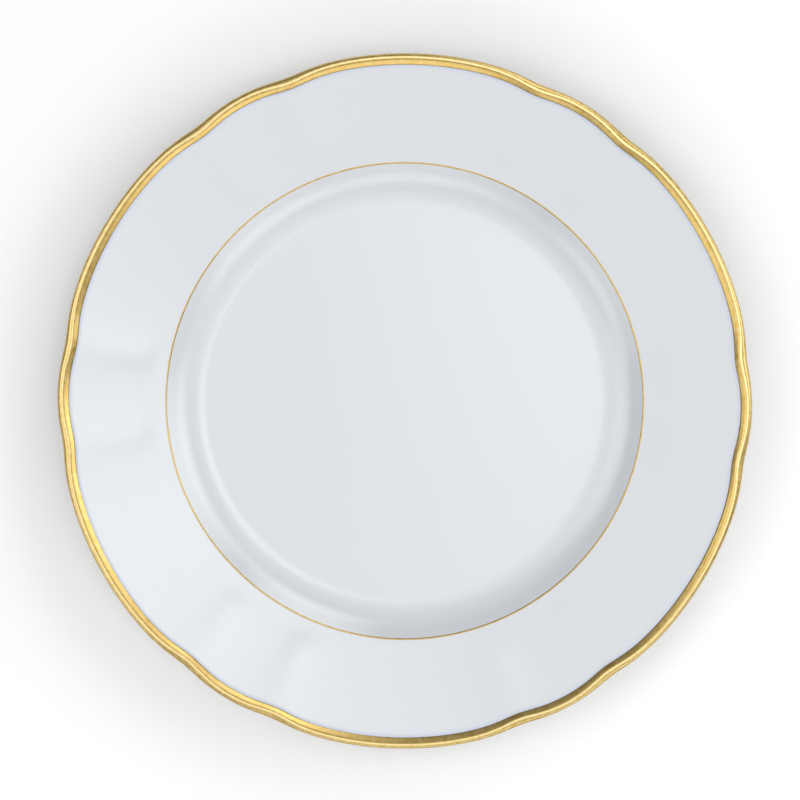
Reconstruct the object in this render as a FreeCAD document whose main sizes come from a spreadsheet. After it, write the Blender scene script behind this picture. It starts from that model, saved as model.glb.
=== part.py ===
"""A porcelain dinner plate with a fluted flange, a twelve-lobed gilt edge and a gilt verge line.

The plate is one fired clay body. Glaze covers it, except on the bearing face of the foot ring,
and two rings of gold are fired on the glaze. Lengths are in millimetres and angles in degrees.
The origin is on the axis, in the plane that the foot ring stands on, and +Z is up.

The radial section is laid out once, for the bare clay. A coat is the same section moved
outwards, so that glaze fits clay and gold fits glaze. Round the well and down the back the
section is revolved. From just outside the verge to the edge, its control points follow the lobes.
"""

import FreeCAD
import Part

import math
import os

import Sketcher
from FreeCAD import Vector

SIZES = {
    # the outline, over the gold
    "overallradius": 135.0,
    "overallheight": 21.0,
    # the lobes: narrow and wide ones in turn, with a cusp between each two
    "lobepairs": 6,
    "cuspangle": 8.5,
    "cuspwidth": 3.1,
    # how far a cusp draws in the edge, and the foot and the crest of the bead
    "edgescallop": 1.45,
    "beadscallop": 1.75,
    "crestscallop": 2.4,
    # the ridge that runs in from a cusp
    "ridgeheight": 0.3,
    "ridgewidth": 2.0,
    # the face
    "floorheight": 7.4,
    "vergeradius": 92.8,
    "wallangle": 38.0,
    "flangeangle": 7.6,
    "wellfillet": 21.0,
    "vergeround": 2.2,
    "beadwidth": 4.35,
    "beadheight": 1.2,
    # the back
    "flangethickness": 3.0,
    "backround": 6.0,
    "flutemargin": 0.5,
    "shelfheight": 3.3,
    "shelfround": 12.0,
    "baseheight": 2.9,
    "footmargin": 0.3,
    "footwidth": 3.2,
    "footdraft": 10.0,
    "footfillet": 1.2,
    "footedge": 0.5,
    # the coats
    "glazethickness": 0.35,
    "giltthickness": 0.2,
    "bareheight": 1.2,
    "giltwrap": 2.6,
    "linewidth": 0.7,
}

RINGS = 180  # control points round each lobed surface
FLANGE_ROWS = 8  # control rings across the flange, closest together by the verge
ROW_CROWDING = 1.6
RIDGE_RISE = 0.25  # share of the flange over which a ridge comes up from the verge
SEW_TOLERANCE = 1e-4
CUBIC = 3

# The bead's control points, as shares of its width, its rise over the flange, or the gold's wrap
BEAD_SLOPE = ((0.2, 0.24), (0.41, 0.66))
BEAD_CREST = (0.62, 0.76, 0.88)
EDGE_DROP = 0.45
TUCK_START = 0.65
# and in millimetres, where the edge turns under
EDGE_MIDDLE_LIFT = 0.3
EDGE_FOOT_LIFT = 1.2
TURN_IN = 0.46
TURN_LIFT = 0.25


def make_sheet(doc):
    """Put the driving sizes in a spreadsheet, one a row, each with its name as alias."""
    sheet = doc.addObject("Spreadsheet::Sheet", "Sizes")
    for row, (name, value) in enumerate(SIZES.items(), start=1):
        sheet.set(f"A{row}", name)
        sheet.set(f"B{row}", str(value))
        sheet.setAlias(f"B{row}", name)
    doc.recompute()
    return sheet


# ---- the radial section: a point is (radius, height), a line is (point, direction) ----


def along(point, direction, length):
    """The point at a length from another, in a direction."""
    turn = math.radians(direction)
    return (point[0] + length * math.cos(turn), point[1] + length * math.sin(turn))


def shift(line, distance):
    """The line moved to its left."""
    point, direction = line
    return (along(point, direction + 90, distance), direction)


def back_to_front(line):
    """The same line, run the other way."""
    return (line[0], line[1] - 180)


def meet(line_a, line_b):
    """The point where two lines cross."""
    (ax, ay), a = line_a[0], math.radians(line_a[1])
    (bx, by), b = line_b[0], math.radians(line_b[1])
    step = ((bx - ax) * math.sin(b) - (by - ay) * math.cos(b)) / math.sin(b - a)
    return (ax + step * math.cos(a), ay + step * math.sin(a))


def reach(before, after, radius):
    """How far a rounding eats into each of two lines, from where they cross."""
    return radius * math.tan(math.radians(abs(after[1] - before[1]) / 2))


def rounded(start, lines, radii, end, distance=0.0):
    """The edges of a run of lines moved left, from one crossing line to another, with round corners.

    A radius is that of the unmoved run. A corner that turns left closes as it moves left.
    """
    moved = [shift(line, distance) for line in lines]
    here = meet(start, moved[0])
    edges = []
    for before, after, radius in zip(moved, moved[1:], radii):
        side = math.copysign(1, after[1] - before[1])
        radius -= side * distance
        corner = meet(before, after)
        leave = along(corner, before[1], -reach(before, after, radius))
        join = along(corner, after[1], reach(before, after, radius))
        centre = along(leave, before[1] + side * 90, radius)
        middle = along(centre, (before[1] + after[1]) / 2 - side * 90, radius)
        edges.append(Part.makeLine(in_space(here), in_space(leave)))
        edges.append(Part.Arc(in_space(leave), in_space(middle), in_space(join)).toShape())
        here = join
    edges.append(Part.makeLine(in_space(here), in_space(meet(moved[-1], end))))
    return edges


def moved_points(points, before, after, distance):
    """A run of control points moved left. before and after are the directions at its two ends."""
    steps = zip(points, points[1:])
    directions = [math.degrees(math.atan2(b[1] - a[1], b[0] - a[0])) for a, b in steps]
    directions = [before] + directions + [after]
    moved = []
    for point, first, second in zip(points, directions, directions[1:]):
        spread = math.cos(math.radians(second - first) / 2)
        moved.append(along(point, (first + second) / 2 + 90, distance / spread))
    return moved


def in_space(point):
    """A point of the section, in the plane y = 0."""
    return Vector(point[0], 0, point[1])


class Section:
    """The lines and control points of the bare clay's section, from the sheet's sizes.

    The face runs outwards and the back runs inwards, so that the left of each is the outside.
    """

    def __init__(self, sheet):
        size = {name: float(sheet.get(name)) for name in SIZES}
        self.size = size
        coats = size["glazethickness"] + size["giltthickness"]
        self.edge = size["overallradius"] - coats
        self.top = size["overallheight"] - coats
        self.bead_foot = (size["overallradius"] - size["beadwidth"], self.top - size["beadheight"])

        flange = (self.bead_foot, size["flangeangle"])
        lean = (size["wallangle"] + size["flangeangle"]) / 2
        centre_radius = size["vergeradius"] + size["vergeround"] * math.sin(math.radians(lean))
        centre = meet(shift(flange, -size["vergeround"]), ((centre_radius, 0), 90))
        wall_start = along(centre, size["wallangle"] + 90, size["vergeround"])
        wall = (wall_start, size["wallangle"])
        self.flange = flange
        self.face_lines = [((0, size["floorheight"]), 0), wall, flange]
        self.face_radii = [size["wellfillet"], size["vergeround"]]

        self.under = back_to_front(shift(flange, -size["flangethickness"]))
        back_wall = back_to_front(shift(wall, -size["flangethickness"]))
        shelf = ((0, size["shelfheight"]), -180)
        foot_turn = -90 - size["footdraft"]
        shelf_start = meet(back_wall, shelf)[0] - reach(back_wall, shelf, size["shelfround"])
        foot_top = shelf_start - size["footmargin"] - reach(shelf, (None, foot_turn), size["footfillet"])
        foot_side = ((foot_top, size["shelfheight"]), foot_turn)
        foot_radius = meet(foot_side, ((0, 0), 0))[0]
        self.back_lines = [self.under, back_wall, shelf, foot_side]
        self.back_radii = [size["backround"], size["shelfround"], size["footfillet"]]

        bearing = ((0, 0), -180)
        self.foot_hollow = foot_radius - size["footwidth"]
        foot_inside = ((self.foot_hollow, 0), -270)
        base = ((0, size["baseheight"]), -180)
        self.foot_lines = [foot_side, bearing, foot_inside, base]
        self.foot_radii = [size["footedge"], size["footedge"], size["footfillet"]]

        self.axis = ((0, 0), 90)
        bend_end = meet(self.under, back_wall)[0] + reach(self.under, back_wall, size["backround"])
        self.joint = ((bend_end + size["flutemargin"], 0), 90)
        self.glaze_end = ((0, size["bareheight"]), 0)

    def face(self, distance=0.0):
        """The middle of the face, from the axis to where the flutes begin."""
        return rounded(self.axis, self.face_lines, self.face_radii, self.joint, distance)

    def back(self, distance=0.0):
        """The back, from under the flutes' beginning to where the glaze ends on the foot."""
        return rounded(self.joint, self.back_lines, self.back_radii, self.glaze_end, distance)

    def foot(self):
        """The bare foot, and the base inside it."""
        return rounded(self.glaze_end, self.foot_lines, self.foot_radii, self.axis)

    def bead_points(self, distance=0.0):
        """Control points over the rolled edge, from the bead's foot to where the gold ends below.

        Three in line on top and three in line at the edge make the curve touch both extremes.
        """
        foot_radius, foot_height = self.bead_foot
        edge, top = self.edge, self.top
        width, rise = edge - foot_radius, top - foot_height
        wrap = self.size["giltwrap"]
        tuck = self.under_at(edge - TUCK_START * wrap)
        low = tuck[1]
        high = top - EDGE_DROP * rise
        points = [self.bead_foot]
        for across, up in BEAD_SLOPE:
            points.append((foot_radius + across * width, foot_height + up * rise))
        points += [(foot_radius + share * width, top) for share in BEAD_CREST]
        for height in (high, (high + low) / 2 + EDGE_MIDDLE_LIFT, low + EDGE_FOOT_LIFT):
            points.append((edge, height))
        points += [(edge - TURN_IN, low + TURN_LIFT), tuck, self.under_at(edge - wrap)]
        return moved_points(points, self.flange[1], self.under[1], distance)

    def under_at(self, radius):
        """The point at a radius on the back of the flange."""
        return meet(self.under, ((radius, 0), 90))


# ---- the lobes ----


def notch(angle, width, size):
    """How much of a cusp is left at an angle: 1 at a cusp, and near 0 between, for a narrow one."""
    total = 0.0
    pitch = 360 / size["lobepairs"]
    for pair in range(int(size["lobepairs"])):
        for side in (-1, 1):
            cusp = pair * pitch + side * size["cuspangle"]
            apart = (angle - cusp + 180) % 360 - 180
            total += 1 / math.cosh(apart / width)
    return total


def control_ring(point, scallop, ridge, size):
    """The closed ring of control points of one row: cusps draw it in and lift it."""
    step = 360 / RINGS
    # a closed cubic through equal steps runs a little inside its control points
    outset = 3 / (2 + math.cos(math.radians(step)))
    ring = []
    for index in range(RINGS):
        angle = (index - 1) * step
        turn = math.radians(angle)
        radius = (point[0] - scallop * notch(angle, size["cuspwidth"], size)) * outset
        height = point[1] + ridge * notch(angle, size["ridgewidth"], size)
        ring.append(Vector(radius * math.cos(turn), radius * math.sin(turn), height))
    return ring


def lobed_face(rings):
    """The face that control rings shape: cubic round the ring, and across it where it can be."""
    degree = min(CUBIC, len(rings) - 1)
    spans = len(rings) - degree
    across = [degree + 1] + [1] * (spans - 1) + [degree + 1]
    surface = Part.BSplineSurface()
    surface.buildFromPolesMultsKnots(
        rings,
        across,
        [1] * (RINGS + 1),
        list(range(spans + 1)),
        list(range(RINGS + 1)),
        False,
        True,
        degree,
        CUBIC,
    )
    return surface.toShape()


def flange_rings(section, distance=0.0):
    """Rings across the flange. Scallops grow outwards; a ridge rises by the verge, then sinks."""
    size = section.size
    start = meet(section.joint, shift(section.flange, distance))
    end = section.bead_points(distance)[0]
    rings = []
    for row in range(FLANGE_ROWS + 1):
        share = (row / FLANGE_ROWS) ** ROW_CROWDING
        point = tuple(a + share * (b - a) for a, b in zip(start, end))
        rise = min(share / RIDGE_RISE, 1)
        ridge = size["ridgeheight"] * rise * rise * (3 - 2 * rise) * (1 - share * share)
        rings.append(control_ring(point, share * size["beadscallop"], ridge, size))
    return rings


def scallop_across(share, size):
    """How far a cusp draws the bead in, at a share of the way over it. It is most at the crest."""
    foot, crest, edge = size["beadscallop"], size["crestscallop"], size["edgescallop"]
    middle = BEAD_CREST[1]
    if share < middle:
        return foot + share / middle * (crest - foot)
    return crest + (share - middle) / (1 - middle) * (edge - crest)


def bead_rings(section, distance=0.0):
    """Rings over the rolled edge, from the bead's foot to where the gold ends below."""
    size = section.size
    bare = section.bead_points()
    foot = bare[0][0]
    rings = []
    share = 0
    for clay, moved in zip(bare, section.bead_points(distance)):
        share = max(share, (clay[0] - foot) / (section.edge - foot))
        rings.append(control_ring(moved, scallop_across(share, size), 0, size))
    return rings


def under_rings(section, distance=0.0):
    """Rings along the back of the flange, where the scallops die away from the edge inwards."""
    size = section.size
    start = section.bead_points(distance)[-1]
    end = meet(section.joint, shift(section.under, distance))
    rings = []
    for row in range(FLANGE_ROWS + 1):
        share = (row / FLANGE_ROWS) ** ROW_CROWDING
        point = tuple(b + (1 - share) * (a - b) for a, b in zip(start, end))
        rings.append(control_ring(point, (1 - share) * size["edgescallop"], 0, size))
    return rings


# ---- shapes ----


def turned(edges):
    """The faces that section edges leave when they turn about the axis."""
    return Part.Wire(edges).revolve(Vector(0, 0, 0), Vector(0, 0, 1), 360).Faces


def skin(section, distance=0.0):
    """The whole outer skin at a distance from the clay, from the axis to the glaze's end below."""
    faces = turned(section.face(distance))
    faces.append(lobed_face(flange_rings(section, distance)))
    faces.append(lobed_face(bead_rings(section, distance)))
    faces.append(lobed_face(under_rings(section, distance)))
    return faces + turned(section.back(distance))


def closed_solid(faces):
    """Sew faces that meet edge to edge into one solid."""
    sewn = Part.Compound(faces)
    sewn.sewShape(SEW_TOLERANCE)
    solid = Part.Solid(sewn.Shells[0])
    if solid.Volume < 0:
        solid.reverse()
    return solid


def feature(doc, name, shape):
    """A document object for a shape that follows a rule, standing at the plate's origin."""
    made = doc.addObject("Part::Feature", name)
    made.Label = name
    made.Shape = shape
    made.Placement = FreeCAD.Placement()
    return made


def make_porcelain_body(doc, section):
    """The fired clay: face, flange, rolled edge, back and foot ring in one piece."""
    return feature(doc, "porcelain_body", closed_solid(skin(section) + turned(section.foot())))


def make_glaze_coat(doc, section):
    """The glaze over the face, round the edge and down the back to the foot ring."""
    coat = section.size["glazethickness"]
    inner_end = section.back()[-1].Vertexes[-1].Point
    outer_end = section.back(coat)[-1].Vertexes[-1].Point
    end = turned([Part.makeLine(inner_end, outer_end)])
    return feature(doc, "glaze_coat", closed_solid(skin(section) + skin(section, coat) + end))


def make_gilt_rim_band(doc, section):
    """The gold over the rolled edge, on the glaze."""
    glaze = section.size["glazethickness"]
    under = bead_rings(section, glaze)
    over = bead_rings(section, glaze + section.size["giltthickness"])
    rims = [lobed_face([under[row], over[row]]) for row in (0, -1)]
    return feature(doc, "gilt_rim_band", closed_solid([lobed_face(under), lobed_face(over)] + rims))


# The sheet's formulas for two places that sketches share with the section: the middle of the
# verge's rounding, and the inner side of the foot ring, which stands in from the back wall.
VERGE_LEAN = "(Sizes.wallangle + Sizes.flangeangle) / 2"
VERGE_RADIUS = f"(Sizes.vergeradius + Sizes.vergeround * sin({VERGE_LEAN}))"
VERGE_LEVEL = (
    "(Sizes.overallheight - Sizes.glazethickness - Sizes.giltthickness - Sizes.beadheight"
    f" - (Sizes.overallradius - Sizes.beadwidth - {VERGE_RADIUS}) * tan(Sizes.flangeangle)"
    " - Sizes.vergeround / cos(Sizes.flangeangle))"
)
INNER_ROUND = "(Sizes.vergeround - Sizes.flangethickness)"
FOOT_HOLLOW = (
    f"{VERGE_RADIUS} - {INNER_ROUND} * sin(Sizes.wallangle)"
    f" - ({VERGE_LEVEL} + {INNER_ROUND} * cos(Sizes.wallangle) - Sizes.shelfheight)"
    " / tan(Sizes.wallangle) - Sizes.shelfround * tan(Sizes.wallangle / 2) - Sizes.footmargin"
    " - Sizes.footfillet * tan((90 - Sizes.footdraft) / 2)"
    " - Sizes.shelfheight * tan(Sizes.footdraft) - Sizes.footwidth"
)


def body_with_sketch(doc, name):
    """A PartDesign body of its own, with a sketch in its radial plane."""
    body = doc.addObject("PartDesign::Body", name)
    body.Label = name
    sketch = body.newObject("Sketcher::SketchObject", name + "_section")
    planes = [plane for plane in body.Origin.OriginFeatures if plane.Role == "XZ_Plane"]
    sketch.AttachmentSupport = [(planes[0], "")]
    sketch.MapMode = "FlatFace"
    return body, sketch


def revolve_body(doc, body, sketch):
    """Turn a body's sketch once round the plate's axis."""
    turn = body.newObject("PartDesign::Revolution", body.Name + "_turn")
    turn.Profile = sketch
    turn.ReferenceAxis = (sketch, ["V_Axis"])
    turn.Angle = 360
    sketch.Visibility = False
    doc.recompute()
    return body


def bind(sketch, kind, elements, value, expression):
    """Add a sketch dimension and tie it to the sheet."""
    index = sketch.addConstraint(Sketcher.Constraint(kind, *elements, value))
    sketch.setExpression(f"Constraints[{index}]", expression)


def arc_edge(centre, radius, start, end):
    """An arc for a sketch, between two directions in degrees."""
    circle = Part.Circle(Vector(*centre, 0), Vector(0, 0, 1), radius)
    return Part.ArcOfCircle(circle, math.radians(start), math.radians(end))


def make_glaze_base(doc, section):
    """The glaze inside the foot ring: over the base and down the ring's inner side."""
    size = section.size
    coat, fillet, top = size["glazethickness"], size["footfillet"], size["baseheight"]
    wall, bare = section.foot_hollow, size["bareheight"]
    turn_in, turn_down = wall - fillet, top - fillet
    body, sketch = body_with_sketch(doc, "glaze_base")

    def line(start, end):
        return sketch.addGeometry(Part.LineSegment(Vector(*start, 0), Vector(*end, 0)), False)

    ceiling = line((0, top), (turn_in, top))
    outer = sketch.addGeometry(arc_edge((turn_in, turn_down), fillet, 0, 90), False)
    outside = line((wall, turn_down), (wall, bare))
    end = line((wall, bare), (wall - coat, bare))
    inside = line((wall - coat, bare), (wall - coat, turn_down))
    inner = sketch.addGeometry(arc_edge((turn_in, turn_down), fillet - coat, 0, 90), False)
    surface = line((turn_in, top - coat), (0, top - coat))
    middle = line((0, top - coat), (0, top))

    # each pair is an edge and which of its ends: 1 its start, 2 its end
    for first, second in (
        ((outside, 2), (end, 1)),
        ((end, 2), (inside, 1)),
        ((surface, 2), (middle, 1)),
        ((middle, 2), (ceiling, 1)),
        ((outer, 3), (inner, 3)),
    ):
        sketch.addConstraint(Sketcher.Constraint("Coincident", *first, *second))
    for first, second in (
        ((ceiling, 2), (outer, 2)),
        ((outer, 1), (outside, 1)),
        ((inside, 2), (inner, 1)),
        ((inner, 2), (surface, 1)),
    ):
        sketch.addConstraint(Sketcher.Constraint("Tangent", *first, *second))
    for level in (ceiling, end, surface):
        sketch.addConstraint(Sketcher.Constraint("Horizontal", level))
    for upright in (outside, middle):
        sketch.addConstraint(Sketcher.Constraint("Vertical", upright))
    sketch.addConstraint(Sketcher.Constraint("PointOnObject", middle, 1, -2))
    bind(sketch, "Radius", (outer,), fillet, "Sizes.footfillet")
    bind(sketch, "Radius", (inner,), fillet - coat, "Sizes.footfillet - Sizes.glazethickness")
    bind(sketch, "DistanceX", (-1, 1, outside, 1), wall, FOOT_HOLLOW)
    bind(sketch, "DistanceY", (-1, 1, ceiling, 1), top, "Sizes.baseheight")
    bind(sketch, "DistanceY", (-1, 1, end, 1), bare, "Sizes.bareheight")
    return revolve_body(doc, body, sketch)


def make_gilt_verge_line(doc, section):
    """The gold hairline on the rounded verge, on the glaze."""
    size = section.size
    lean = (size["wallangle"] + size["flangeangle"]) / 2
    glaze = size["vergeround"] + size["glazethickness"]
    gold = glaze + size["giltthickness"]
    radius = size["vergeradius"] + size["vergeround"] * math.sin(math.radians(lean))
    level = shift(section.flange, -size["vergeround"])
    centre = meet(level, ((radius, 0), 90))
    half = math.degrees(size["linewidth"] / glaze / 2)
    body, sketch = body_with_sketch(doc, "gilt_verge_line")
    first, last = 90 + lean - half, 90 + lean + half

    def radial_line(direction):
        ends = along(centre, direction, glaze), along(centre, direction, gold)
        return sketch.addGeometry(Part.LineSegment(*(Vector(*end, 0) for end in ends)), False)

    below = sketch.addGeometry(arc_edge(centre, glaze, first, last), False)
    above = sketch.addGeometry(arc_edge(centre, gold, first, last), False)
    outer_end, inner_end = radial_line(first), radial_line(last)
    for side, end in ((1, outer_end), (2, inner_end)):
        sketch.addConstraint(Sketcher.Constraint("Coincident", below, side, end, 1))
        sketch.addConstraint(Sketcher.Constraint("Coincident", above, side, end, 2))
    sketch.addConstraint(Sketcher.Constraint("Coincident", below, 3, above, 3))

    gold_cell = "Sizes.vergeround + Sizes.glazethickness + Sizes.giltthickness"
    half_cell = "Sizes.linewidth / (Sizes.vergeround + Sizes.glazethickness) / 2 * 180 / pi"
    bind(sketch, "Radius", (below,), glaze, "Sizes.vergeround + Sizes.glazethickness")
    bind(sketch, "Radius", (above,), gold, gold_cell)
    bind(sketch, "DistanceX", (-1, 1, below, 3), centre[0], VERGE_RADIUS)
    bind(sketch, "DistanceY", (-1, 1, below, 3), centre[1], VERGE_LEVEL)
    for end, direction, sign in ((outer_end, first, "-"), (inner_end, last, "+")):
        cell = f"(90 + {VERGE_LEAN} {sign} {half_cell}) * 1 deg"
        bind(sketch, "Angle", (end,), math.radians(direction), cell)
    return revolve_body(doc, body, sketch)


def check(doc, pieces):
    """Stop if any object failed or any piece isn't one valid solid."""
    for item in doc.Objects:
        if "Invalid" in item.State or "Error" in item.State:
            raise RuntimeError(f"{item.Label} failed: {item.State}")
    for piece in pieces:
        shape = piece.Shape
        if shape.isNull() or not shape.isValid() or len(shape.Solids) != 1:
            raise RuntimeError(f"{piece.Label} isn't one valid solid")
        if shape.Volume <= 0:
            raise RuntimeError(f"{piece.Label} is inside out")


def main():
    doc = FreeCAD.newDocument("dinner_plate")
    section = Section(make_sheet(doc))
    pieces = [
        make_porcelain_body(doc, section),
        make_glaze_coat(doc, section),
        make_glaze_base(doc, section),
        make_gilt_rim_band(doc, section),
        make_gilt_verge_line(doc, section),
    ]
    doc.recompute()
    check(doc, pieces)
    os.makedirs("parts", exist_ok=True)
    for piece in pieces:
        piece.Shape.exportStep(f"parts/{piece.Label}.step")


main()
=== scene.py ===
"""A porcelain dinner plate with a fluted flange, a gilt edge in twelve lobes and a gilt verge line.

Each piece is one radial section turned about the axis by a Geometry Nodes tree, which draws the
section in and lifts it at the cusps between the lobes. A section's points are worked out for the
bare clay, and a coat's are the same run moved outwards. Lengths are in metres.
"""

import math

import bmesh
import bpy
from mathutils import Matrix, Vector


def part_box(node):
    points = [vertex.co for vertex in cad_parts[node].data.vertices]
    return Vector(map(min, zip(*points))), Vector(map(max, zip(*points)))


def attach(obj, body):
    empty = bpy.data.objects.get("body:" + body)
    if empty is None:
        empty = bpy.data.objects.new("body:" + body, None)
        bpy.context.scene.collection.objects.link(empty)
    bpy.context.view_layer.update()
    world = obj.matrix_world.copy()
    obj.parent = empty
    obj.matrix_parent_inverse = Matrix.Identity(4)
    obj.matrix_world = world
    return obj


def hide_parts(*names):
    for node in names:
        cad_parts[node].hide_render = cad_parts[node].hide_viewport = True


bl_info = {
    "name": "Lobed dinner plate",
    "version": (1, 0, 0),
    "blender": (4, 5, 0),
    "location": "3D View > Sidebar > Plate",
    "description": "Builds a glazed and gilt porcelain dinner plate round its CAD frame",
    "category": "Object",
}

MM = 0.001

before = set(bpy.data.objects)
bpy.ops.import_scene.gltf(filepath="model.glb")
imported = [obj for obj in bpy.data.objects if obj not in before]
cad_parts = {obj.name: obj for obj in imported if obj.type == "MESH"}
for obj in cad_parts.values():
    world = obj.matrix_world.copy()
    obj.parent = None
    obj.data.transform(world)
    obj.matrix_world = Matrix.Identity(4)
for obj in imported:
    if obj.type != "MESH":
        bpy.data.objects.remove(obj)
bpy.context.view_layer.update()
gilt_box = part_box("gilt_rim_band")
base_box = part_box("glaze_base")


# ---- the sizes and colours that a user would change ----


def length(name, description, default):
    """A length property, in metres."""
    return bpy.props.FloatProperty(
        name=name, description=description, default=default, precision=5, unit="LENGTH"
    )


def angle(name, description, degrees):
    """An angle property."""
    return bpy.props.FloatProperty(
        name=name, description=description, default=math.radians(degrees), unit="ROTATION"
    )


def colour(name, description, default):
    """A colour property, in linear light."""
    return bpy.props.FloatVectorProperty(
        name=name, description=description, default=default, size=3, subtype="COLOR", min=0, max=1
    )


class PlateSizes(bpy.types.PropertyGroup):
    """The plate's shape. The outer sizes come from the frame."""

    edge_radius: length("Edge radius", "To the crest of a wide lobe, over the gold", gilt_box[1].y)
    height: length("Height", "From the foot to the top of the gold", gilt_box[1].z)
    lobe_pairs: bpy.props.IntProperty(
        name="Lobe pairs", description="Narrow lobes, with a wide one after each", default=6, min=1
    )
    cusp_angle: angle("Cusp angle", "From the middle of a narrow lobe to its cusps", 8.5)
    cusp_width: angle("Cusp width", "How fast a cusp's dip in the edge dies away", 3.1)
    edge_scallop: length("Edge scallop", "Depth of a cusp in the edge", 1.45 * MM)
    bead_scallop: length("Bead scallop", "Depth of a cusp at the foot of the bead", 1.75 * MM)
    crest_scallop: length("Crest scallop", "Depth of a cusp in the crest of the bead", 2.4 * MM)
    ridge_height: length("Ridge height", "Of the ridge that runs in from each cusp", 0.3 * MM)
    ridge_width: angle("Ridge width", "How fast a ridge falls away to each side", 2.0)
    floor_height: length("Floor height", "Of the clay in the middle of the well", 7.4 * MM)
    verge_radius: length("Verge radius", "Where the flange meets the well", 92.8 * MM)
    wall_angle: angle("Wall angle", "Slope of the well's wall", 38)
    flange_angle: angle("Flange angle", "Slope of the flange", 7.6)
    well_fillet: length("Well fillet", "Rounding between the floor and the wall", 21 * MM)
    verge_round: length("Verge round", "Rounding of the verge", 2.2 * MM)
    bead_width: length("Bead width", "Of the gilt bead, across the edge", 4.35 * MM)
    bead_height: length("Bead height", "Of the bead over the flange", 1.2 * MM)
    flange_thickness: length("Flange thickness", "Of the clay", 3 * MM)
    back_round: length("Back round", "Rounding under the verge", 6 * MM)
    flute_margin: length("Flute margin", "From the back's rounding to the flutes", 0.5 * MM)
    shelf_height: length("Shelf height", "Of the back, outside the foot ring", 3.3 * MM)
    shelf_round: length("Shelf round", "Rounding of the back round the foot", 12 * MM)
    base_height: length("Base height", "Of the clay inside the foot ring", base_box[1].z)
    foot_hollow: length("Foot hollow", "Inner radius of the foot ring", base_box[1].y)
    foot_width: length("Foot width", "Across the foot ring's bearing face", 3.2 * MM)
    foot_draft: angle("Foot draft", "Lean of the foot ring's outer side", 10)
    foot_fillet: length("Foot fillet", "Rounding at the root of the foot ring", 1.2 * MM)
    foot_edge: length("Foot edge", "Rounding of the bearing face's edges", 0.5 * MM)
    bare_height: length("Bare height", "Of the foot ring that is wiped clean", base_box[0].z)
    glaze: length("Glaze", "Thickness of the glaze", 0.35 * MM)
    gilt: length("Gilt", "Thickness of the gold", 0.2 * MM)
    gilt_wrap: length("Gilt wrap", "How far the gold turns under the edge", 2.6 * MM)
    line_width: length("Line width", "Of the gilt line on the verge", 0.7 * MM)
    steps: bpy.props.IntProperty(name="Steps", description="Faces round the plate", default=336, min=36)


class PlateFinish(bpy.types.PropertyGroup):
    """The plate's colours."""

    glaze_colour: colour("Glaze", "White porcelain under clear glaze", (0.64, 0.657, 0.681))
    # darker, bluer glaze: pooled glaze and painted shade in the corner at the bead's foot
    pool_and_shade_colour: colour("Pooled glaze", "Where the glaze lies thick", (0.52, 0.58, 0.74))
    clay_colour: colour("Bare clay", "The wiped bearing face", (0.74, 0.7, 0.64))
    stain_colour: colour("Stain", "Dirt that the bare clay has picked up", (0.46, 0.41, 0.35))
    gilt_colour: colour("Gilt", "Burnished gold", (0.54, 0.36, 0.1))
    # paler gold: random mottle, and a painted highlight along the burnished crest
    pale_gilt_and_highlight_colour: colour("Pale gilt", "Gold where it is burnished most", (0.85, 0.71, 0.38))
    floor_colour: colour("Floor", "The stage's floor", (0.93, 0.93, 0.93))


# ---- the radial section: a point is (radius, height), a line is (point, direction) ----

LINE_STEP = 5 * MM
ARC_STEP = math.radians(2.5)
HIDDEN_COARSENESS = 3  # a skin that nothing shows has steps this many times as long
BEAD_SPAN_STEPS = 5
RIDGE_RISE = 0.25  # share of the flange over which a ridge comes up from the verge
FLANGE_STEPS = 22
RIGHT = math.pi / 2


def along(point, direction, distance):
    """The point at a distance from another, in a direction."""
    return (
        point[0] + distance * math.cos(direction),
        point[1] + distance * math.sin(direction),
    )


def shift(line, distance):
    """The line moved to its left."""
    return (along(line[0], line[1] + RIGHT, distance), line[1])


def turned_back(line):
    """The same line, run the other way."""
    return (line[0], line[1] - math.pi)


def meet(line_a, line_b):
    """The point where two lines cross."""
    (ax, ay), a = line_a
    (bx, by), b = line_b
    step = ((bx - ax) * math.sin(b) - (by - ay) * math.cos(b)) / math.sin(b - a)
    return (ax + step * math.cos(a), ay + step * math.sin(a))


def reach(before, after, radius):
    """How far a rounding eats into each of two lines, from where they cross."""
    return radius * math.tan(abs(after[1] - before[1]) / 2)


def between(start, end, step):
    """Points from start to just before end, about a step apart."""
    count = max(1, math.ceil(math.dist(start, end) / step))
    return [
        tuple(a + (b - a) * i / count for a, b in zip(start, end)) for i in range(count)
    ]


def rounded(start, lines, radii, end, distance=0.0, coarseness=1):
    """Points along a run of lines moved left, from one crossing line to another, corners rounded.

    A radius is that of the unmoved run. A corner that turns left closes as it moves left.
    """
    moved = [shift(line, distance) for line in lines]
    here = meet(start, moved[0])
    points = []
    for before, after, radius in zip(moved, moved[1:], radii):
        turn = after[1] - before[1]
        side = math.copysign(1, turn)
        radius -= side * distance
        corner = meet(before, after)
        leave = along(corner, before[1], -reach(before, after, radius))
        centre = along(leave, before[1] + side * RIGHT, radius)
        points += between(here, leave, LINE_STEP * coarseness)
        count = max(1, math.ceil(abs(turn) / ARC_STEP / coarseness))
        for i in range(count):
            points.append(along(centre, before[1] + turn * i / count - side * RIGHT, radius))
        here = along(centre, after[1] - side * RIGHT, radius)
    finish = meet(moved[-1], end)
    return points + between(here, finish, LINE_STEP * coarseness) + [finish]


def moved_points(points, before, after, distance):
    """Control points moved left. before and after are the directions at the run's two ends."""
    directions = [before]
    directions += [math.atan2(b[1] - a[1], b[0] - a[0]) for a, b in zip(points, points[1:])]
    directions.append(after)
    moved = []
    for point, first, second in zip(points, directions, directions[1:]):
        spread = math.cos((second - first) / 2)
        moved.append(along(point, (first + second) / 2 + RIGHT, distance / spread))
    return moved


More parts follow.
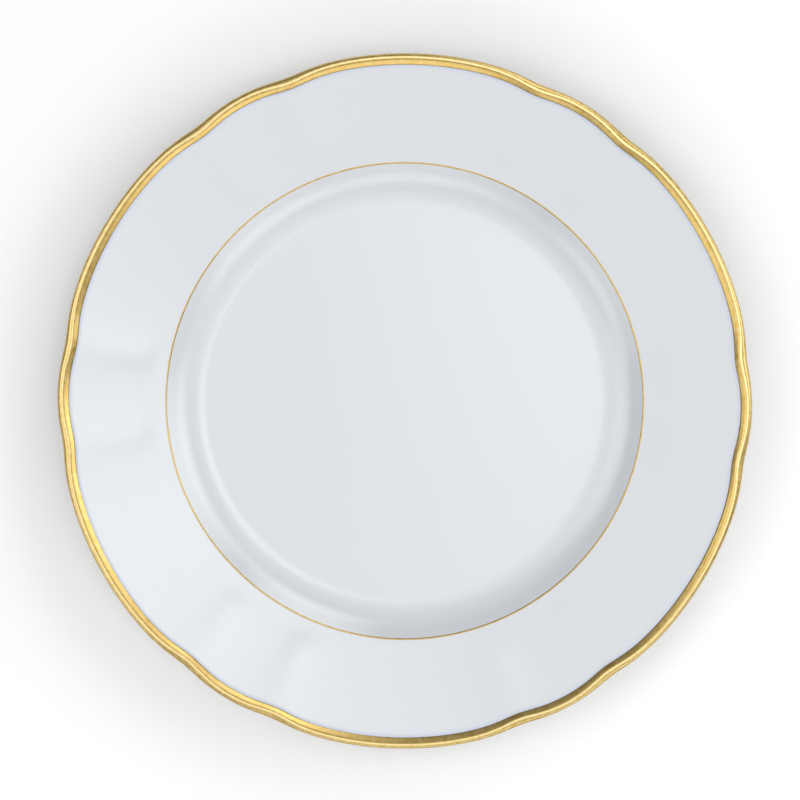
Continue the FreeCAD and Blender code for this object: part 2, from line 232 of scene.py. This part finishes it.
def cubic_points(controls, span_steps):
    """Points along the clamped uniform cubic that control points of any length shape."""
    spans = len(controls) - 3
    knots = [0] * 3 + list(range(spans + 1)) + [spans] * 3
    points = []
    for i in range(spans * span_steps + 1):
        at = min(i / span_steps, spans - 1e-9)
        span = int(at) + 3
        work = [controls[span - 3 + j] for j in range(4)]
        for level in range(1, 4):
            for j in range(3, level - 1, -1):
                low = knots[span - 3 + j]
                share = (at - low) / (knots[span + 1 + j - level] - low)
                work[j] = tuple(a + share * (b - a) for a, b in zip(work[j - 1], work[j]))
        points.append(work[3])
    return points


class Section:
    """The clay's section. The face runs outwards and the back inwards, so left is the outside.

    A finished point is (radius, height, scallop, ridge): how far a cusp draws it in and lifts it.
    """

    # the bead's control points, as shares of its width, its rise or the gold's wrap
    SLOPE = ((0.2, 0.24), (0.41, 0.66))
    CREST = (0.62, 0.76, 0.88)
    EDGE_DROP = 0.45
    TUCK_START = 0.65
    # and in metres, where the edge turns under
    EDGE_MIDDLE_LIFT = 0.3 * MM
    EDGE_FOOT_LIFT = 1.2 * MM
    TURN_IN = 0.46 * MM
    TURN_LIFT = 0.25 * MM

    def __init__(self, s):
        self.sizes = s
        self.edge = s.edge_radius - s.glaze - s.gilt
        self.top = s.height - s.glaze - s.gilt
        self.bead_foot = (s.edge_radius - s.bead_width, self.top - s.bead_height)

        self.flange = (self.bead_foot, s.flange_angle)
        self.lean = (s.wall_angle + s.flange_angle) / 2
        centre_radius = s.verge_radius + s.verge_round * math.sin(self.lean)
        self.verge = meet(shift(self.flange, -s.verge_round), ((centre_radius, 0), RIGHT))
        wall = (along(self.verge, s.wall_angle + RIGHT, s.verge_round), s.wall_angle)
        self.face_lines = [((0, s.floor_height), 0), wall, self.flange]

        self.under = turned_back(shift(self.flange, -s.flange_thickness))
        back_wall = turned_back(shift(wall, -s.flange_thickness))
        shelf = ((0, s.shelf_height), -math.pi)
        foot_side = ((s.foot_hollow + s.foot_width, 0), -RIGHT - s.foot_draft)
        self.back_lines = [self.under, back_wall, shelf, foot_side]
        bearing = ((0, 0), -math.pi)
        self.hollow_lines = [((s.foot_hollow, 0), -3 * RIGHT), ((0, s.base_height), -math.pi)]
        self.foot_lines = [foot_side, bearing] + self.hollow_lines

        self.axis = ((0, 0), RIGHT)
        bend_end = meet(self.under, back_wall)[0] + reach(self.under, back_wall, s.back_round)
        self.joint = ((bend_end + s.flute_margin, 0), RIGHT)
        self.glaze_end = ((0, s.bare_height), 0)

    def face(self, distance, coarseness):
        """The middle of the face, from the axis to where the flutes begin."""
        radii = [self.sizes.well_fillet, self.sizes.verge_round]
        points = rounded(self.axis, self.face_lines, radii, self.joint, distance, coarseness)
        return [(*point, 0, 0) for point in points]

    def flutes(self, distance, coarseness):
        """The flange. Scallops grow outwards; a ridge rises by the verge, then sinks."""
        s = self.sizes
        start = meet(self.joint, shift(self.flange, distance))
        end = self.bead_controls(distance)[0]
        count = FLANGE_STEPS // coarseness
        points = []
        for i in range(1, count):
            share = i / count
            rise = min(share / RIDGE_RISE, 1)
            ridge = s.ridge_height * rise * rise * (3 - 2 * rise) * (1 - share * share)
            radius, height = (a + share * (b - a) for a, b in zip(start, end))
            points.append((radius, height, share * s.bead_scallop, ridge))
        return points

    def under_at(self, radius):
        """The point at a radius on the back of the flange."""
        return meet(self.under, ((radius, 0), RIGHT))

    def bead_controls(self, distance):
        """Control points over the rolled edge, from the bead's foot to the gold's end below."""
        s = self.sizes
        foot_radius, foot_height = self.bead_foot
        edge, top = self.edge, self.top
        width, rise = edge - foot_radius, top - foot_height
        tuck = self.under_at(edge - self.TUCK_START * s.gilt_wrap)
        low = tuck[1]
        high = top - self.EDGE_DROP * rise
        points = [self.bead_foot]
        for across, up in self.SLOPE:
            points.append((foot_radius + across * width, foot_height + up * rise))
        points += [(foot_radius + share * width, top) for share in self.CREST]
        for height in (high, (high + low) / 2 + self.EDGE_MIDDLE_LIFT, low + self.EDGE_FOOT_LIFT):
            points.append((edge, height))
        points += [(edge - self.TURN_IN, low + self.TURN_LIFT), tuck]
        points.append(self.under_at(edge - s.gilt_wrap))
        return moved_points(points, self.flange[1], self.under[1], distance)

    def crest_radius(self):
        """The radius at which the bead is highest, in the middle of a lobe."""
        foot = self.bead_foot[0]
        return foot + self.CREST[1] * (self.edge - foot)

    def scallop_across(self, share):
        """How far a cusp draws the bead in, at a share of the way over it: most at its crest."""
        s = self.sizes
        middle = self.CREST[1]
        if share < middle:
            return s.bead_scallop + share / middle * (s.crest_scallop - s.bead_scallop)
        past = (share - middle) / (1 - middle)
        return s.crest_scallop + past * (s.edge_scallop - s.crest_scallop)

    def bead(self, distance):
        """The rolled edge, from the bead's foot to the gold's end below."""
        foot = self.bead_foot[0]
        controls = []
        share = 0
        for clay, moved in zip(self.bead_controls(0), self.bead_controls(distance)):
            share = max(share, (clay[0] - foot) / (self.edge - foot))
            controls.append((*moved, self.scallop_across(share), 0))
        return cubic_points(controls, BEAD_SPAN_STEPS)

    def underside(self, distance, coarseness):
        """The back of the flange, where the scallops die away from the edge inwards."""
        start = self.bead_controls(distance)[-1]
        end = meet(self.joint, shift(self.under, distance))
        points = between((*start, self.sizes.edge_scallop, 0), (*end, 0, 0), LINE_STEP * coarseness)
        return points[1:]

    def back(self, distance, coarseness):
        """The back, from under the flutes' beginning to where the glaze ends on the foot."""
        s = self.sizes
        radii = [s.back_round, s.shelf_round, s.foot_fillet]
        points = rounded(self.joint, self.back_lines, radii, self.glaze_end, distance, coarseness)
        return [(*point, 0, 0) for point in points]

    def skin(self, distance, coarseness=1):
        """The whole outer skin at a distance from the clay, from the axis to the glaze's end."""
        points = self.face(distance, coarseness) + self.flutes(distance, coarseness)
        points += self.bead(distance) + self.underside(distance, coarseness)
        return points + self.back(distance, coarseness)

    def foot(self):
        """The bare foot and the base inside it, from the glaze's end to the axis."""
        s = self.sizes
        radii = [s.foot_edge, s.foot_edge, s.foot_fillet]
        points = rounded(self.glaze_end, self.foot_lines, radii, self.axis)
        return [(*point, 0, 0) for point in points[1:]]

    def hollow(self, distance):
        """The inside of the foot ring and the base, from the glaze's end to the axis."""
        radii = [self.sizes.foot_fillet]
        points = rounded(self.glaze_end, self.hollow_lines, radii, self.axis, distance)
        return [(*point, 0, 0) for point in points]


# ---- node trees ----


class Term:
    """A socket of a node tree. Sums on it add Math nodes."""

    def __init__(self, tree, socket):
        self.tree = tree
        self.socket = socket

    def math(self, operation, *operands):
        """The result of a Math node on this and other values."""
        node = self.tree.add("ShaderNodeMath", {"operation": operation}, dict(enumerate(operands)))
        return node[0]

    def __add__(self, other):
        return self.math("ADD", self, other)

    def __sub__(self, other):
        return self.math("SUBTRACT", self, other)

    def __mul__(self, other):
        return self.math("MULTIPLY", self, other)

    def __truediv__(self, other):
        return self.math("DIVIDE", self, other)

    def __radd__(self, other):
        return self.math("ADD", other, self)

    def __rsub__(self, other):
        return self.math("SUBTRACT", other, self)

    def __rmul__(self, other):
        return self.math("MULTIPLY", other, self)

    def __rtruediv__(self, other):
        return self.math("DIVIDE", other, self)

    def clamped(self):
        """This value held between 0 and 1."""
        return self.math("MINIMUM", self.math("MAXIMUM", self, 0), 1)


class Made:
    """A node that was added, whose outputs are read by name or number as terms."""

    def __init__(self, tree, node):
        self.tree = tree
        self.node = node

    def __getitem__(self, key):
        return Term(self.tree, self.node.outputs[key])


class Tree:
    """A node tree, and the one method that adds nodes to it."""

    def __init__(self, tree):
        self.tree = tree

    def add(self, kind, settings=None, values=None):
        """Add a node: its settings first, then the value or link of each socket named."""
        node = self.tree.nodes.new(kind)
        for name, value in (settings or {}).items():
            setattr(node, name, value)
        for key, value in (values or {}).items():
            if isinstance(value, Term):
                self.tree.links.new(value.socket, node.inputs[key])
            else:
                node.inputs[key].default_value = value
        return Made(self, node)

    def mix(self, share, first, second):
        """Two colours mixed."""
        values = {0: share, 6: first, 7: second}
        return self.add("ShaderNodeMix", {"data_type": "RGBA"}, values)[2]


MERGE_DISTANCE = 1e-7
SHARP = math.radians(50)


def turning_tree():
    """The tree that turns a section about Z: a sheet of its copies, drawn in and lifted at cusps."""
    group = bpy.data.node_groups.new("Lobed turning", "GeometryNodeTree")
    for name, kind in (
        ("Section", "NodeSocketGeometry"),
        ("Steps", "NodeSocketInt"),
        ("Lobe Pairs", "NodeSocketInt"),
        ("Cusp Angle", "NodeSocketFloat"),
        ("Cusp Width", "NodeSocketFloat"),
        ("Ridge Width", "NodeSocketFloat"),
        ("Material", "NodeSocketMaterial"),
    ):
        group.interface.new_socket(name, in_out="INPUT", socket_type=kind)
    group.interface.new_socket("Mesh", in_out="OUTPUT", socket_type="NodeSocketGeometry")
    tree = Tree(group)
    given = tree.add("NodeGroupInput")
    section = given["Section"]

    count = tree.add("GeometryNodeAttributeDomainSize", None, {0: section})["Point Count"]
    sheet = tree.add(
        "GeometryNodeMeshGrid", None, {"Vertices X": given["Steps"] + 1, "Vertices Y": count}
    )["Mesh"]
    index = tree.add("GeometryNodeInputIndex")[0]
    row = (index / count).math("FLOOR", index / count)
    place = index - row * count

    def sampled(value, kind):
        """A section point's value, for the sheet point that stands for it."""
        values = {0: section, "Value": value, "Index": place}
        return tree.add("GeometryNodeSampleIndex", {"data_type": kind}, values)[0]

    def carried(name):
        """A number that the section's points carry."""
        found = tree.add("GeometryNodeInputNamedAttribute", {"data_type": "FLOAT"}, {"Name": name})
        return sampled(found[0], "FLOAT")

    position = sampled(tree.add("GeometryNodeInputPosition")[0], "FLOAT_VECTOR")
    parts = tree.add("ShaderNodeSeparateXYZ", None, {0: position})
    share = row / given["Steps"]
    turn = share * math.tau
    pitch = math.tau / given["Lobe Pairs"]
    fold = turn.math("PINGPONG", turn, pitch / 2)

    def notch(width):
        """How much of a cusp is left at an angle, from the three cusps nearest."""
        cusp = given["Cusp Angle"]
        bends = [apart / width for apart in (fold - cusp, fold + cusp, pitch - cusp - fold)]
        return sum(1 / bend.math("COSH", bend) for bend in bends)

    radius = parts["X"] - carried("scallop") * notch(given["Cusp Width"])
    height = parts["Z"] + carried("ridge") * notch(given["Ridge Width"])
    values = {
        "X": radius * turn.math("COSINE", turn),
        "Y": radius * turn.math("SINE", turn),
        "Z": height,
    }
    point = tree.add("ShaderNodeCombineXYZ", None, values)[0]
    mesh = tree.add("GeometryNodeSetPosition", None, {0: sheet, "Position": point})[0]

    flat = tree.add("ShaderNodeCombineXYZ", None, {"X": share, "Y": carried("run")})[0]
    stored = {"data_type": "FLOAT2", "domain": "CORNER"}
    values = {0: mesh, "Name": "UVMap", "Value": flat}
    mesh = tree.add("GeometryNodeStoreNamedAttribute", stored, values)[0]
    stored = {"data_type": "FLOAT", "domain": "POINT"}
    values = {0: mesh, "Name": "mark", "Value": carried("mark")}
    mesh = tree.add("GeometryNodeStoreNamedAttribute", stored, values)[0]

    values = {0: mesh, "Distance": MERGE_DISTANCE}
    mesh = tree.add("GeometryNodeMergeByDistance", None, values)[0]
    mesh = tree.add("GeometryNodeFlipFaces", None, {0: mesh})[0]
    values = {0: mesh, "Shade Smooth": True}
    mesh = tree.add("GeometryNodeSetShadeSmooth", {"domain": "FACE"}, values)[0]
    bend = tree.add("GeometryNodeInputMeshEdgeAngle")["Unsigned Angle"]
    sharp = bend.math("GREATER_THAN", bend, SHARP)
    values = {0: mesh, "Selection": sharp, "Shade Smooth": False}
    mesh = tree.add("GeometryNodeSetShadeSmooth", {"domain": "EDGE"}, values)[0]
    mesh = tree.add("GeometryNodeRealizeInstances", None, {0: mesh})[0]
    values = {0: mesh, "Material": given["Material"]}
    mesh = tree.add("GeometryNodeSetMaterial", None, values)[0]
    tree.add("NodeGroupOutput", None, {0: mesh})
    return group


def section_object(name, points, mark):
    """An object that is a section: a chain of points that carry what the tree reads."""
    mesh = bpy.data.meshes.new(name)
    run = 0.0
    runs = [run]
    for before, after in zip(points, points[1:]):
        run += math.dist(before[:2], after[:2])
        runs.append(run)
    links = [(i, i + 1) for i in range(len(points) - 1)]
    mesh.from_pydata([(p[0], 0, p[1]) for p in points], links, [])
    columns = {
        "scallop": [p[2] for p in points],
        "ridge": [p[3] for p in points],
        "run": [value / run for value in runs],
        "mark": [mark(p) for p in points],
    }
    for column, values in columns.items():
        mesh.attributes.new(column, "FLOAT", "POINT").data.foreach_set("value", values)
    thing = bpy.data.objects.new(name, mesh)
    bpy.context.scene.collection.objects.link(thing)
    return thing


def turned_piece(name, points, material, node, mark=lambda point: 0.0):
    """Turn a section into a piece that stands for a CAD node, and put it on the plate.

    mark says how far the finish changes at a point, from 0 to 1.
    """
    sizes = bpy.context.scene.plate_sizes
    piece = section_object(name, points, mark)
    group = bpy.data.node_groups.get("Lobed turning") or turning_tree()
    modifier = piece.modifiers.new("Turning", "NODES")
    modifier.node_group = group
    given = {
        "Steps": sizes.steps,
        "Lobe Pairs": sizes.lobe_pairs,
        "Cusp Angle": sizes.cusp_angle,
        "Cusp Width": sizes.cusp_width,
        "Ridge Width": sizes.ridge_width,
        "Material": material,
    }
    for socket in group.interface.items_tree:
        if socket.in_out == "INPUT" and socket.name in given:
            modifier[socket.identifier] = given[socket.name]
    graph = bpy.context.evaluated_depsgraph_get()
    mesh = bpy.data.meshes.new_from_object(
        piece.evaluated_get(graph), preserve_all_data_layers=True, depsgraph=graph
    )
    piece.modifiers.clear()
    mesh.name = name
    piece.data = mesh
    check_closed(name, mesh)
    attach(piece, "root")
    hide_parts(node)


def check_closed(name, mesh):
    """Stop if a piece has a gap in it or is inside out."""
    shape = bmesh.new()
    shape.from_mesh(mesh)
    gaps = sum(1 for edge in shape.edges if not edge.is_manifold)
    volume = shape.calc_volume(signed=True)
    shape.free()
    if gaps or volume <= 0:
        raise RuntimeError(f"{name} has {gaps} open edges and a volume of {volume}")


# ---- materials ----


def new_material(name):
    """A material with an empty tree, and its tree."""
    material = bpy.data.materials.new(name)
    material.use_nodes = True
    material.node_tree.nodes.clear()
    return material, Tree(material.node_tree)


def finish_material(tree, values):
    """Set the surface shader of a material's tree."""
    shader = tree.add("ShaderNodeBsdfPrincipled", None, values)
    tree.add("ShaderNodeOutputMaterial", None, {"Surface": shader["BSDF"]})


def noise(tree, vector, scale, detail=2.0):
    """Smooth noise from 0 to 1."""
    values = {"Vector": vector, "Scale": scale, "Detail": detail}
    return tree.add("ShaderNodeTexNoise", None, values)["Fac"]


def bump(tree, height, distance, normal=None):
    """A normal that a height in metres tilts."""
    values = {"Height": height, "Distance": distance}
    if normal is not None:
        values["Normal"] = normal
    return tree.add("ShaderNodeBump", None, values)["Normal"]


def opaque(rgb):
    """A colour with full alpha."""
    return (*rgb, 1.0)


def glaze_material(finish):
    """Clear glaze over white clay: glossy, a little uneven, and darker and bluer where it lies thick,
    with painted shade in the corner at the bead's foot.
    """
    material, tree = new_material("glazed porcelain")
    place = tree.add("ShaderNodeTexCoord")["Object"]
    pool_and_shade = tree.add("ShaderNodeAttribute", {"attribute_name": "mark"})["Fac"]
    cloud = noise(tree, place, 16, 3)
    # pooled glaze and painted shade by the bead's foot, with a little random unevenness
    thick_and_shaded = (pool_and_shade + (cloud - 0.5) * 0.12).clamped()
    base = tree.mix(thick_and_shaded, opaque(finish.glaze_colour), opaque(finish.pool_and_shade_colour))
    fine = noise(tree, place, 260, 2)
    slow = bump(tree, noise(tree, place, 38, 1), 0.012 * MM)
    values = {
        "Base Color": base,
        "Roughness": 0.05 + fine * 0.05,
        "IOR": 1.52,
        "Coat IOR": 1.5,
        "Coat Roughness": 0.03,
        "Coat Weight": 0.35,
        "Normal": bump(tree, noise(tree, place, 900, 1), 0.0012 * MM, slow),
    }
    finish_material(tree, values)
    return material


def clay_material(finish):
    """Bare fired clay: matt, finely grained, and stained where it has stood on tables."""
    material, tree = new_material("bare porcelain")
    place = tree.add("ShaderNodeTexCoord")["Object"]
    grain = noise(tree, place, 2600, 3)
    stain = (noise(tree, place, 90, 4) * 1.8 - 0.7).clamped()
    base = tree.mix(stain * 0.7, opaque(finish.clay_colour), opaque(finish.stain_colour))
    values = {
        "Base Color": base,
        "Roughness": 0.72 + grain * 0.2,
        "IOR": 1.5,
        "Normal": bump(tree, grain, 0.05 * MM),
    }
    finish_material(tree, values)
    return material


def gilt_material(finish):
    """Fired gold, satin on the slopes and burnished on the crest, where it is smoother and painted
    paler as a highlight, with a fine grain.
    """
    material, tree = new_material("burnished gilt")
    place = tree.add("ShaderNodeTexCoord")["Object"]
    flat = tree.add("ShaderNodeUVMap", {"uv_map": "UVMap"})["UV"]
    burnish_and_highlight = tree.add("ShaderNodeAttribute", {"attribute_name": "mark"})["Fac"]
    stretch = tree.add("ShaderNodeMapping", None, {"Vector": flat, "Scale": (150, 30, 1)})[0]
    streak = noise(tree, stretch, 1, 3)
    mottle = noise(tree, place, 520, 3)
    grain = noise(tree, place, 1900, 2)
    # paler in random mottle and streaks, and painted paler along the crest as a highlight
    share = (mottle * 0.8 + streak * 0.4 - 0.45 + burnish_and_highlight * 0.45).clamped()
    base = tree.mix(share, opaque(finish.gilt_colour), opaque(finish.pale_gilt_and_highlight_colour))
    relief = bump(tree, streak, 0.003 * MM, bump(tree, mottle, 0.008 * MM))
    values = {
        "Base Color": base,
        "Metallic": 1.0,
        "Roughness": 0.22 + mottle * 0.16 - burnish_and_highlight * 0.06,
        "Normal": bump(tree, grain, 0.004 * MM, relief),
    }
    finish_material(tree, values)
    return material


def floor_material(finish):
    """A pale matt floor."""
    material, tree = new_material("pale floor")
    place = tree.add("ShaderNodeTexCoord")["Object"]
    shade = tree.mix(noise(tree, place, 3) * 0.02, opaque(finish.floor_colour), (0.8, 0.8, 0.8, 1))
    finish_material(tree, {"Base Color": shade, "Roughness": 0.9})
    return material


# ---- the operators ----


class PLATE_OT_clay(bpy.types.Operator):
    """Make the fired clay, which shows only on the foot ring's bearing face"""

    bl_idname = "plate.clay"
    bl_label = "Fired clay"

    def execute(self, context):
        section = Section(context.scene.plate_sizes)
        points = section.skin(0, HIDDEN_COARSENESS) + section.foot()
        material = clay_material(context.scene.plate_finish)
        turned_piece("fired_clay", points, material, "porcelain_body")
        return {"FINISHED"}


class PLATE_OT_glaze(bpy.types.Operator):
    """Make the glaze: the coat over the plate, and the one inside the foot ring"""

    bl_idname = "plate.glaze"
    bl_label = "Glaze"

    # width of the pooled glaze and painted shade by the bead's foot
    POOL_AND_SHADE_RUN = 0.5 * MM

    def execute(self, context):
        s = context.scene.plate_sizes
        section = Section(s)
        foot = section.bead_foot[0]

        def pool_and_shade(point):
            """How thick the glaze lies, with painted shade: most in the corner where the flange runs
            into the bead.
            """
            return math.exp(-(((point[0] - foot + s.glaze) / self.POOL_AND_SHADE_RUN) ** 2))

        material = glaze_material(context.scene.plate_finish)
        coat = section.skin(s.glaze) + section.skin(0, HIDDEN_COARSENESS)[::-1]
        turned_piece("glaze", coat, material, "glaze_coat", pool_and_shade)
        base = section.hollow(0)[::-1] + section.hollow(s.glaze)
        turned_piece("base_glaze", base, material, "glaze_base")
        return {"FINISHED"}


class PLATE_OT_gilding(bpy.types.Operator):
    """Make the gilding: the band over the edge and the line on the verge"""

    bl_idname = "plate.gilding"
    bl_label = "Gilding"

    FEATHER = 0.6 * MM
    # width of the burnish and painted highlight along the crest
    BURNISH_AND_HIGHLIGHT_SPREAD = 0.5 * MM
    LINE_STEPS = 8

    def feathered(self, under, over, run_in):
        """The section of a coat that thins to nothing at both ends."""
        runs = [0.0]
        for before, after in zip(under, under[1:]):
            runs.append(runs[-1] + math.dist(before[:2], after[:2]))
        outside = []
        for low, high, run in zip(under, over, runs):
            share = min(run, runs[-1] - run) / run_in
            share = 1 if share >= 1 else math.sin(share * RIGHT)
            outside.append(tuple(a + share * (b - a) for a, b in zip(low, high)))
        return outside + under[-2::-1]

    def line(self, section, radius, half):
        """Points on the verge's rounding, inwards side first."""
        points = []
        for i in range(self.LINE_STEPS + 1):
            direction = RIGHT + section.lean + half * (1 - 2 * i / self.LINE_STEPS)
            points.append((*along(section.verge, direction, radius), 0, 0))
        return points

    def execute(self, context):
        s = context.scene.plate_sizes
        section = Section(s)
        material = gilt_material(context.scene.plate_finish)
        band = self.feathered(section.bead(s.glaze), section.bead(s.glaze + s.gilt), self.FEATHER)
        crest = section.crest_radius()

        def burnish_and_highlight(point):
            """How far the gold is burnished and painted paler as a highlight: most along the crest of
            the bead.
            """
            return math.exp(-(((point[0] - crest) / self.BURNISH_AND_HIGHLIGHT_SPREAD) ** 2))

        turned_piece("gilt_edge", band, material, "gilt_rim_band", burnish_and_highlight)
        radius = s.verge_round + s.glaze
        half = s.line_width / radius / 2
        under = self.line(section, radius, half)
        over = self.line(section, radius + s.gilt / 2, half)
        band = self.feathered(under, over, s.line_width / 2)
        turned_piece("gilt_line", band, material, "gilt_verge_line")
        return {"FINISHED"}


class PLATE_OT_stage(bpy.types.Operator):
    """Make the floor, the lights and the camera"""

    bl_idname = "plate.stage"
    bl_label = "Stage"

    FLOOR_SIZE = 12.0
    CAMERA_DISTANCE = 2.0
    CAMERA_REACH = 50.0  # nothing further off is drawn
    FRAME_WIDTH = 309.8 * MM  # of the plane of the edge that the camera sees
    SENSOR = 36.0
    LEAN = math.radians(3.4)  # of the camera, past upright
    ROLL = math.radians(1.5)
    AIM = Vector((-1.9 * MM, 0.9 * MM, 20 * MM))
    SKY_LOW = (0.115, 0.118, 0.12)  # at the level of the floor
    SKY_HIGH = (0.52, 0.53, 0.54)  # straight overhead
    LAMPS = (  # name, place, size, power
        ("overhead", (0, 0, 2.4), (2.6, 2.6), 7),
        ("overhead right", (0.34, 0.06, 2.4), (0.9, 0.9), 1.9),
        ("high left", (-1.3, 0.1, 1.6), (1.8, 1.8), 8),
        ("key", (1.35, 0.36, 0.8), (1.6, 1.3), 8.6),
        ("behind", (0.6, 1.25, 0.8), (1.1, 1.1), 5),
        ("front", (0, -1.4, 0.8), (1.8, 1.2), 5.2),
        ("front right", (0.95, -1.1, 0.8), (1.2, 1.2), 4),
        ("front left", (-1.15, -0.8, 0.8), (1.2, 1.2), 3.5),
    )

    def floor(self, finish):
        half = self.FLOOR_SIZE / 2
        mesh = bpy.data.meshes.new("floor")
        corners = [(-half, -half, 0), (half, -half, 0), (half, half, 0), (-half, half, 0)]
        mesh.from_pydata(corners, [], [(0, 1, 2, 3)])
        mesh.materials.append(floor_material(finish))
        floor = bpy.data.objects.new("floor", mesh)
        bpy.context.scene.collection.objects.link(floor)

    def lamp(self, name, place, size, power):
        """A soft box that faces the plate and fades towards its edges."""
        data = bpy.data.lights.new(name, "AREA")
        data.shape = "RECTANGLE"
        data.size, data.size_y = size
        data.energy = power
        data.use_nodes = True
        data.node_tree.nodes.clear()
        tree = Tree(data.node_tree)
        place_on = tree.add("ShaderNodeNewGeometry")["Parametric"]
        across = tree.add("ShaderNodeSeparateXYZ", None, {0: place_on})
        fades = [across[axis] * math.pi for axis in ("X", "Y")]
        fade = fades[0].math("SINE", fades[0]) * fades[1].math("SINE", fades[1])
        glow = tree.add("ShaderNodeEmission", None, {"Strength": fade * (math.pi / 2) ** 2})
        tree.add("ShaderNodeOutputLight", None, {"Surface": glow[0]})
        lamp = bpy.data.objects.new(name, data)
        lamp.location = place
        lamp.rotation_euler = Vector(place).to_track_quat("Z", "Y").to_euler()
        lamp.visible_camera = False
        bpy.context.scene.collection.objects.link(lamp)

    def camera(self):
        data = bpy.data.cameras.new("camera")
        data.sensor_width = self.SENSOR
        data.lens = self.SENSOR * self.CAMERA_DISTANCE / self.FRAME_WIDTH
        data.clip_end = self.CAMERA_REACH
        camera = bpy.data.objects.new("camera", data)
        turn = Matrix.Rotation(self.ROLL, 4, "Z") @ Matrix.Rotation(-self.LEAN, 4, "X")
        back = Matrix.Translation((0, 0, self.CAMERA_DISTANCE))
        camera.matrix_world = Matrix.Translation(self.AIM) @ turn @ back
        bpy.context.scene.collection.objects.link(camera)
        bpy.context.scene.camera = camera

    def sky(self):
        """A studio surround, bright overhead and darker towards the floor."""
        world = bpy.data.worlds.new("studio")
        world.use_nodes = True
        world.node_tree.nodes.clear()
        tree = Tree(world.node_tree)
        way = tree.add("ShaderNodeTexCoord")["Generated"]
        up = tree.add("ShaderNodeSeparateXYZ", None, {0: way})["Z"].clamped()
        colour = tree.mix(up, opaque(self.SKY_LOW), opaque(self.SKY_HIGH))
        glow = tree.add("ShaderNodeBackground", None, {"Color": colour})
        tree.add("ShaderNodeOutputWorld", None, {"Surface": glow[0]})
        bpy.context.scene.world = world

    def execute(self, context):
        self.floor(context.scene.plate_finish)
        self.sky()
        for lamp in self.LAMPS:
            self.lamp(*lamp)
        self.camera()
        context.scene.view_settings.view_transform = "Standard"
        return {"FINISHED"}


class PLATE_PT_panel(bpy.types.Panel):
    """The plate's pieces and sizes"""

    bl_label = "Lobed dinner plate"
    bl_space_type = "VIEW_3D"
    bl_region_type = "UI"
    bl_category = "Plate"

    def draw(self, context):
        for operator in OPERATORS:
            self.layout.operator(operator.bl_idname)
        for group in (context.scene.plate_sizes, context.scene.plate_finish):
            for name in group.__annotations__:
                self.layout.prop(group, name)


OPERATORS = (PLATE_OT_clay, PLATE_OT_glaze, PLATE_OT_gilding, PLATE_OT_stage)
CLASSES = (PlateSizes, PlateFinish, *OPERATORS, PLATE_PT_panel)


def register():
    """Register the classes and hang the properties on the scene."""
    for each in CLASSES:
        bpy.utils.register_class(each)
    bpy.types.Scene.plate_sizes = bpy.props.PointerProperty(type=PlateSizes)
    bpy.types.Scene.plate_finish = bpy.props.PointerProperty(type=PlateFinish)


def unregister():
    """Take the properties off the scene and unregister the classes."""
    del bpy.types.Scene.plate_finish
    del bpy.types.Scene.plate_sizes
    for each in reversed(CLASSES):
        bpy.utils.unregister_class(each)


def main():
    """Build the plate and its stage."""
    register()
    bpy.ops.plate.clay()
    bpy.ops.plate.glaze()
    bpy.ops.plate.gilding()
    bpy.ops.plate.stage()


if __name__ == "__main__":
    main()
